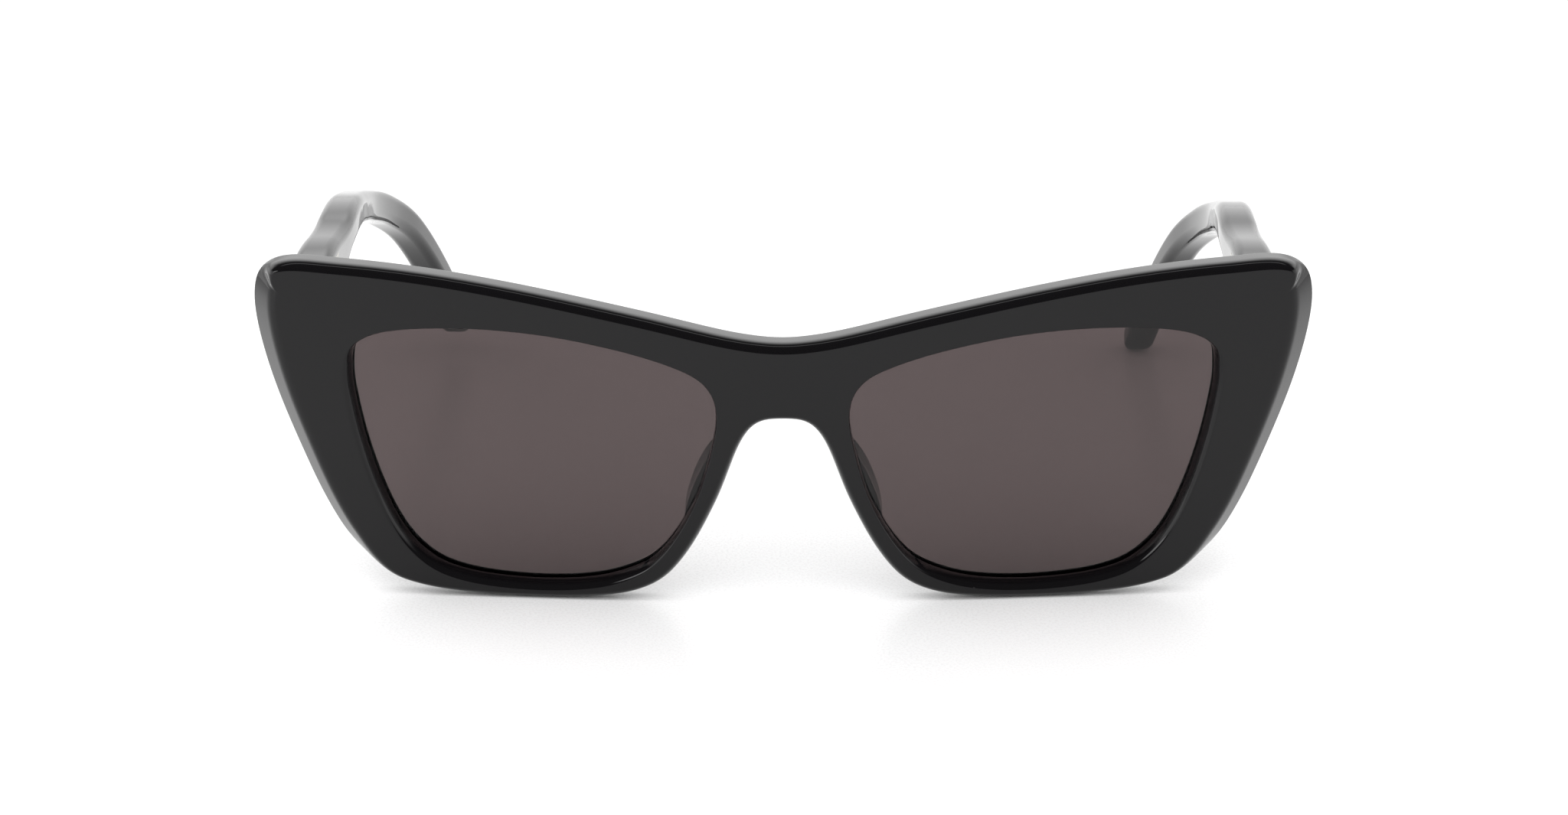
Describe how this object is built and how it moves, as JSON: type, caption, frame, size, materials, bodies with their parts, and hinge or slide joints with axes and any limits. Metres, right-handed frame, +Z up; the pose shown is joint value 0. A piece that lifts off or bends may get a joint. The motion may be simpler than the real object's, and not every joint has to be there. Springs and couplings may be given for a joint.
{
  "type": "cat eye sunglasses",
  "caption": "Cat eye sunglasses: thick acetate front with tinted lenses and glued nose pads, and two folding cored temples on screwed barrel hinges.",
  "frame": {"origin": "middle of the footprint at the surface the glasses stand on, open and lens bottoms down", "axes": "+Z up, the front faces -Y and the temples run towards +Y, +X towards the temple that reaches the surface"},
  "size_m": [0.1432, 0.1338, 0.0487],
  "materials": {
    "acetate_black": "polished black acetate",
    "lens_tint": "polished brown-grey tinted lens",
    "hinge_steel": "nickel-silver hinge, fine brushed",
    "core_metal": "plain drawn wire"
  },
  "bodies": {
    "front": {"front_frame": "acetate_black", "lens_left": "lens_tint", "lens_right": "lens_tint", "nose_pad_left": "acetate_black", "nose_pad_right": "acetate_black", "hinge_front_leaf_left": "hinge_steel", "hinge_front_leaf_right": "hinge_steel", "hinge_screw_left": "hinge_steel", "hinge_screw_right": "hinge_steel"},
    "temple_left": {"temple_left": "acetate_black", "core_wire_left": "core_metal", "hinge_temple_leaf_left": "hinge_steel"},
    "temple_right": {"temple_right": "acetate_black", "core_wire_right": "core_metal", "hinge_temple_leaf_right": "hinge_steel"}
  },
  "joints": [
    {"name": "temple_right_hinge", "type": "hinge", "parent": "front", "child": "temple_right", "pos_m": [0.0599, -0.05441, 0.04161], "axis": [0, 0, 1], "range_deg": [0, 86]},
    {"name": "temple_left_hinge", "type": "hinge", "parent": "front", "child": "temple_left", "pos_m": [-0.0599, -0.05441, 0.04161], "axis": [0, 0, -1], "range_deg": [0, 75]}
  ]
}
